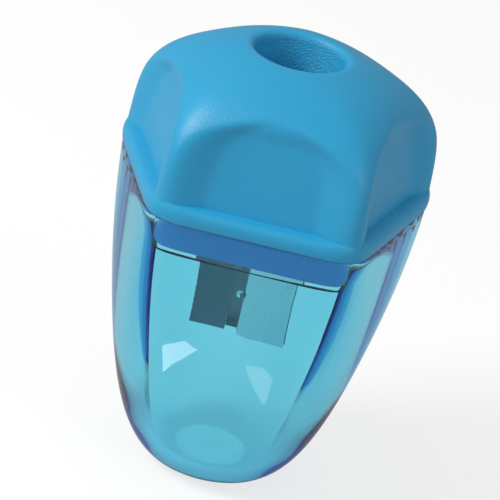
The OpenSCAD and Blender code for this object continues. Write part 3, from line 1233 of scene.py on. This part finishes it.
    def pocket_rings(self) -> list[np.ndarray]:
        """Rings of the pocket's inside, foot and outside.

        Returns:
            The rings from the throat round the pocket's foot up to the funnel's tube.
        """
        inner, outer = self.box_radius(0), self.box_radius(self.pocket_wall)
        deck = self.insert_top + self.throat_length
        rings = [self.ring(inner, self.insert_top)]
        rings += self.bottom_rings(inner, outer, self.insert_top - self.pocket_depth)
        return rings + [self.ring(outer, deck), self.ring(self.tube_radius, deck)]

    def hollow_rings(self) -> list[np.ndarray]:
        """Rings of the space under the dome.

        Returns:
            The rings from the funnel's tube out and down to the skirt.
        """
        skirt = self.skirt_apothem - self.skirt_wall
        rings = [self.ring(self.tube_radius, self.height(self.hollow_rise))]
        for rise in np.linspace(self.hollow_rise, 0, self.hollow_rows):
            slanted = self.head_wall * (1 + self.hollow_slant * rise * rise)
            panel = self.panel_apothem(rise) - self.head_wall
            apothem = min(skirt, panel, self.dome(rise) - slanted)
            radii = apothem * (1 + (1 - rise**self.dome_fade) * (self.skirt_plan - 1))
            rings.append(self.ring(radii, self.height(rise)))
        return rings + [self.ring(skirt * self.skirt_plan, self.band_top - self.groove_gap)]

    def skirt_rings(self) -> list[np.ndarray]:
        """Rings of the skirt and its tabs.

        Returns:
            The rings from the inside round the foot to the flange.
        """
        outer = self.skirt_apothem * self.skirt_plan
        inner = (self.skirt_apothem - self.skirt_wall) * self.skirt_plan
        inside = self.tabs.inside(self.angles, outer, self.tabs.tab_width)
        low = self.rim_height - self.tabs.depths(inside, self.side_skirt_length, self.tab_length)
        return self.bottom_rings(inner, outer, low) + [self.ring(outer, self.rim_height)]

    def build(self) -> Object:
        """Builds the head as one closed moulding with the pencil's way through it.

        Returns:
            The head.
        """
        rises = 1 - (1 - np.linspace(0, 1, self.dome_rows)) ** self.dome_crowding
        rings = self.band_rings() + [self.dome_ring(rise) for rise in rises]
        rings += self.mouth_rings() + self.pocket_rings() + self.hollow_rings() + self.skirt_rings()
        return finish_mesh("moulded_head", loft("moulded_head", rings, True))

    def dress(self, piece: Object) -> None:
        """Gives the head its finish and its place in the frame.

        Args:
            piece: The head.
        """
        piece.data.materials.append(HEAD_PLASTIC.material())
        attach(piece, Body.HEAD.value)
        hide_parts("head")


@dataclass
class Insert:
    """Wedge insert with its blade and screw, kept as the part's own solids."""

    finishes: dict[str, GrainFinish | SteelFinish] = field(
        default_factory=lambda: {
            "sharpener_body": CAST_METAL,
            "blade": BLADE_STEEL,
            "blade_screw": SCREW_STEEL,
        }
    )

    def dress(self, nodes: dict[str, Object]) -> None:
        """Gives each of the insert's solids its finish.

        Args:
            nodes: The part's solids by name.
        """
        for name, finish in self.finishes.items():
            mesh = nodes[name].data
            mesh.materials.clear()
            mesh.materials.append(finish.material())


# ---------------------------------------------------------------- set


@dataclass(frozen=True)
class GlowCard:
    """Small card that glows low in front of the object; its corners are in millimetres."""

    name: str
    corners: tuple[tuple[float, float], ...]
    strength: float
    height: float = 0.6 * MM

    def build(self) -> None:
        """Builds the card, which shows only in gloss."""
        mesh = bpy.data.meshes.new(self.name)
        points = [(x * MM, y * MM, self.height) for x, y in self.corners]
        mesh.from_pydata(points, [], [tuple(range(len(points)))])
        sheet = placed(self.name, mesh)
        made, make, _, output = new_material(self.name)
        glow = make.out("ShaderNodeEmission", "Emission", Strength=self.strength)
        make.fill(output, Surface=glow)
        mesh.materials.append(made)
        sheet.visible_camera = False
        sheet.visible_diffuse = False
        sheet.visible_transmission = False
        sheet.visible_shadow = False
        sheet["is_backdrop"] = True


@dataclass(frozen=True)
class SoftBox:
    """Square soft box; its side is in metres and its power in watts."""

    name: str
    place: tuple[float, float, float]
    size: float
    power: float
    colour: Colour

    def build(self, target: Vector) -> None:
        """Builds the light.

        Args:
            target: Point that it faces.
        """
        data = bpy.data.lights.new(self.name, "AREA")
        data.size = self.size
        data.energy = self.power
        data.color = self.colour
        light = placed(self.name, data)
        light.visible_transmission = False
        light.location = self.place
        light.rotation_euler = (target - Vector(self.place)).to_track_quat("-Z", "Y").to_euler()


@dataclass
class Studio:
    """Camera, floor, backdrop light and soft boxes.

    In gloss the floor keeps only the two shares of floor_mirrored: the first one up to the first of
    mirror_depths, the second one behind the second.
    """

    cards: tuple[GlowCard, ...] = (
        GlowCard(
            "left card",
            ((-24, -28), (-22, -32), (-14.5, -42), (-9, -43.5), (-17.5, -29.5), (-20, -23)),
            strength=5.5,
        ),
        GlowCard(
            "right card",
            ((4, -44), (10.5, -41), (15.5, -34), (15, -27), (14, -26), (7, -38)),
            strength=2.4,
        ),
    )
    boxes: tuple[SoftBox, ...] = (
        SoftBox("key", (-0.45, -0.2, 0.46), 0.3, 3.4, (1.0, 1.0, 0.95)),
        SoftBox("fill", (0.5, -0.42, 0.3), 0.25, 0.8, (0.88, 0.93, 1.0)),
    )
    azimuth: float = 1.364
    elevation: float = 25.715
    roll: float = 13.043
    distance: float = 400 * MM
    target: tuple[float, float, float] = (0, 0, 30 * MM)
    pixels_per_mm: float = 7.314
    frame_pixels: int = 500
    target_pixel: tuple[float, float] = (251.0, 267.3)
    sensor_width: float = 36
    clipped: tuple[float, float] = (0.01, 20)
    floor_size: float = 6
    floor_roughness: float = 0.9
    floor_lit: float = 0.5
    floor_seen: float = 0.3
    floor_glow: float = 0.72
    mirror_depths: tuple[float, float] = (-0.02, 0.04)
    floor_mirrored: tuple[float, float] = (0.15, 0.3)
    sky_light: float = 0.42
    sky_mirrored: float = 0.3
    bounces: int = 32

    def camera(self) -> None:
        """Makes the camera, leaned so that the object leans in the frame."""
        a, e, r = (math.radians(v) for v in (self.azimuth, self.elevation, self.roll))
        back = Vector((math.sin(a) * math.cos(e), -math.cos(a) * math.cos(e), math.sin(e)))
        level = Vector((math.cos(a), math.sin(a), 0))
        up = back.cross(level)
        right = math.cos(r) * level + math.sin(r) * up
        top = -math.sin(r) * level + math.cos(r) * up
        half = self.frame_pixels / 2
        per_pixel = MM / self.pixels_per_mm
        aim = Vector(self.target)
        aim -= right * (self.target_pixel[0] - half) * per_pixel
        aim += top * (self.target_pixel[1] - half) * per_pixel
        data = bpy.data.cameras.new("camera")
        data.sensor_width = self.sensor_width
        frame_width = self.frame_pixels / self.pixels_per_mm * MM
        data.lens = self.sensor_width * self.distance / frame_width
        data.clip_start, data.clip_end = self.clipped
        view = placed("camera", data)
        eye = Vector(self.target) + back * self.distance
        back = (eye - aim).normalized()
        right = (right - back * right.dot(back)).normalized()
        view.matrix_world = Matrix((right, back.cross(right), back)).transposed().to_4x4()
        view.location = eye
        bpy.context.scene.camera = view

    def floor(self) -> None:
        """Makes the pale floor, which keeps the object's soft shadow."""
        bpy.ops.mesh.primitive_plane_add(size=self.floor_size)
        floor = bpy.context.object
        floor.name = "floor"
        made, make, shader, _ = new_material("pale floor")
        seen = self.seen(make)
        paint = make.mix(seen, opaque((self.floor_lit,) * 3), opaque((self.floor_seen,) * 3))
        place = make.out("ShaderNodeTexCoord", "Object")
        depth = make.out("ShaderNodeSeparateXYZ", "Y", Vector=place)
        mirrored = make.eased(depth, *self.mirror_depths, *self.floor_mirrored)
        glow = self.dimmed(make, seen * self.floor_glow, mirrored)
        make.fill(shader, Base_Color=paint, Roughness=self.floor_roughness, Specular_IOR_Level=0.0)
        make.fill(shader, Emission_Color=opaque((1, 1, 1)), Emission_Strength=glow)
        floor.data.materials.append(made)
        floor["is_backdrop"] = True

    def seen(self, make: Nodes) -> Value:
        """Finds out whether the surface is looked at.

        Args:
            make: Helper of the tree that gets the nodes.

        Returns:
            1 on camera, glossy and transmission rays, 0 on others.
        """
        kinds = ("Is Camera Ray", "Is Glossy Ray", "Is Transmission Ray")
        return make.total("MAXIMUM", [make.out("ShaderNodeLightPath", kind) for kind in kinds])

    def dimmed(self, make: Nodes, level: Value, share: Value | float) -> Value:
        """Lowers a strength where it is mirrored, as the dark room round a light tent does.

        Args:
            make: Helper of the tree that gets the nodes.
            level: The strength.
            share: What is left of it in a mirror image.

        Returns:
            The lowered strength.
        """
        glossy = make.out("ShaderNodeLightPath", "Is Glossy Ray")
        passed = make.out("ShaderNodeLightPath", "Is Transmission Ray")
        mirrored = make.calc("SUBTRACT", glossy, passed, clamp=True)
        return level * (mirrored * (share - 1.0) + 1.0)

    def world(self) -> None:
        """Makes the surround: white where it is seen, softer where it lights."""
        world = bpy.data.worlds.new("surround")
        bpy.context.scene.world = world
        world.use_nodes = True
        make = Nodes(world.node_tree)
        level = self.seen(make) * (1.0 - self.sky_light) + self.sky_light
        glow = self.dimmed(make, level, self.sky_mirrored)
        make.fill(world.node_tree.nodes["Background"], Color=opaque((1, 1, 1)), Strength=glow)

    def build(self) -> None:
        """Builds the whole set."""
        self.camera()
        self.floor()
        self.world()
        for box in self.boxes:
            box.build(Vector(self.target))
        for card in self.cards:
            card.build()
        scene = bpy.context.scene
        scene.view_settings.view_transform = "Standard"
        scene.cycles.max_bounces = self.bounces
        scene.cycles.transmission_bounces = self.bounces
        scene.cycles.glossy_bounces = self.bounces


def corners() -> list[list[float]]:
    """Lowest and highest corner of the shown object, as plain lists."""
    return [list(corner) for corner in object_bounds()]


def main() -> None:
    """Builds the object and the set in order."""
    logging.basicConfig(level=logging.INFO, format="%(message)s")
    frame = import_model()
    for maker in (Receptacle(), Head()):
        piece = maker.build()
        maker.dress(piece)
        LOG.info("%s: %d faces", piece.name, len(piece.data.polygons))
    Insert().dress(frame["nodes"])
    LOG.info("insert dressed")
    Studio().build()


if __name__ == "__main__":
    main()
